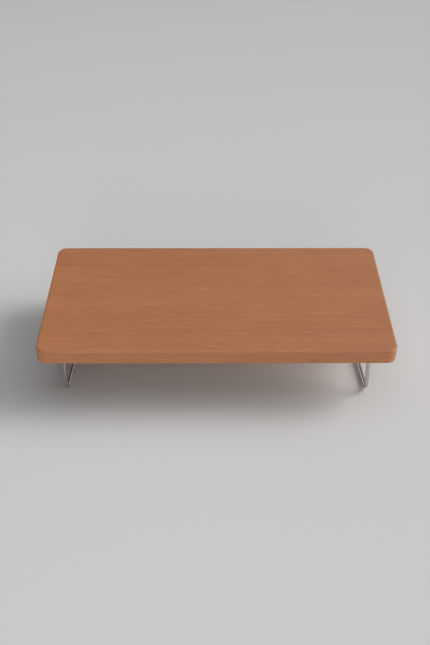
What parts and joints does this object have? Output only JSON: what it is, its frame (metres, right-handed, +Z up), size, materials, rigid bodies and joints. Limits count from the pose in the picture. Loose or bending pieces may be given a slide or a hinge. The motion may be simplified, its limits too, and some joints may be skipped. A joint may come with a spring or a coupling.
{
  "type": "laptop stand",
  "caption": "Low laptop stand: a thick wooden board with rounded corners on bent round steel rod legs that lie along the table.",
  "frame": {"origin": "on the table, under the middle of the board", "axes": "+X to the right along the board's length, +Y from the front edge to the rear edge, +Z up"},
  "size_m": [0.54, 0.275, 0.108],
  "materials": {
    "walnut": "satin oiled walnut brown, grain along the length",
    "polished_steel": "polished round bar",
    "plate_steel": "brushed",
    "screw_steel": "bright zinc",
    "brass": "turned",
    "soft_plastic": "matt, translucent grey look"
  },
  "bodies": {
    "root": {"board": "walnut", "leg_rod_left": "polished_steel", "mount_plate_left_front": "plate_steel", "plate_screw_left_front_fore": "screw_steel", "threaded_insert_left_front_fore": "brass", "plate_screw_left_front_aft": "screw_steel", "threaded_insert_left_front_aft": "brass", "foot_pad_left_front": "soft_plastic", "mount_plate_left_rear": "plate_steel", "plate_screw_left_rear_fore": "screw_steel", "threaded_insert_left_rear_fore": "brass", "plate_screw_left_rear_aft": "screw_steel", "threaded_insert_left_rear_aft": "brass", "foot_pad_left_rear": "soft_plastic", "leg_rod_right": "polished_steel", "mount_plate_right_front": "plate_steel", "plate_screw_right_front_fore": "screw_steel", "threaded_insert_right_front_fore": "brass", "plate_screw_right_front_aft": "screw_steel", "threaded_insert_right_front_aft": "brass", "foot_pad_right_front": "soft_plastic", "mount_plate_right_rear": "plate_steel", "plate_screw_right_rear_fore": "screw_steel", "threaded_insert_right_rear_fore": "brass", "plate_screw_right_rear_aft": "screw_steel", "threaded_insert_right_rear_aft": "brass", "foot_pad_right_rear": "soft_plastic"}
  },
  "joints": []
}
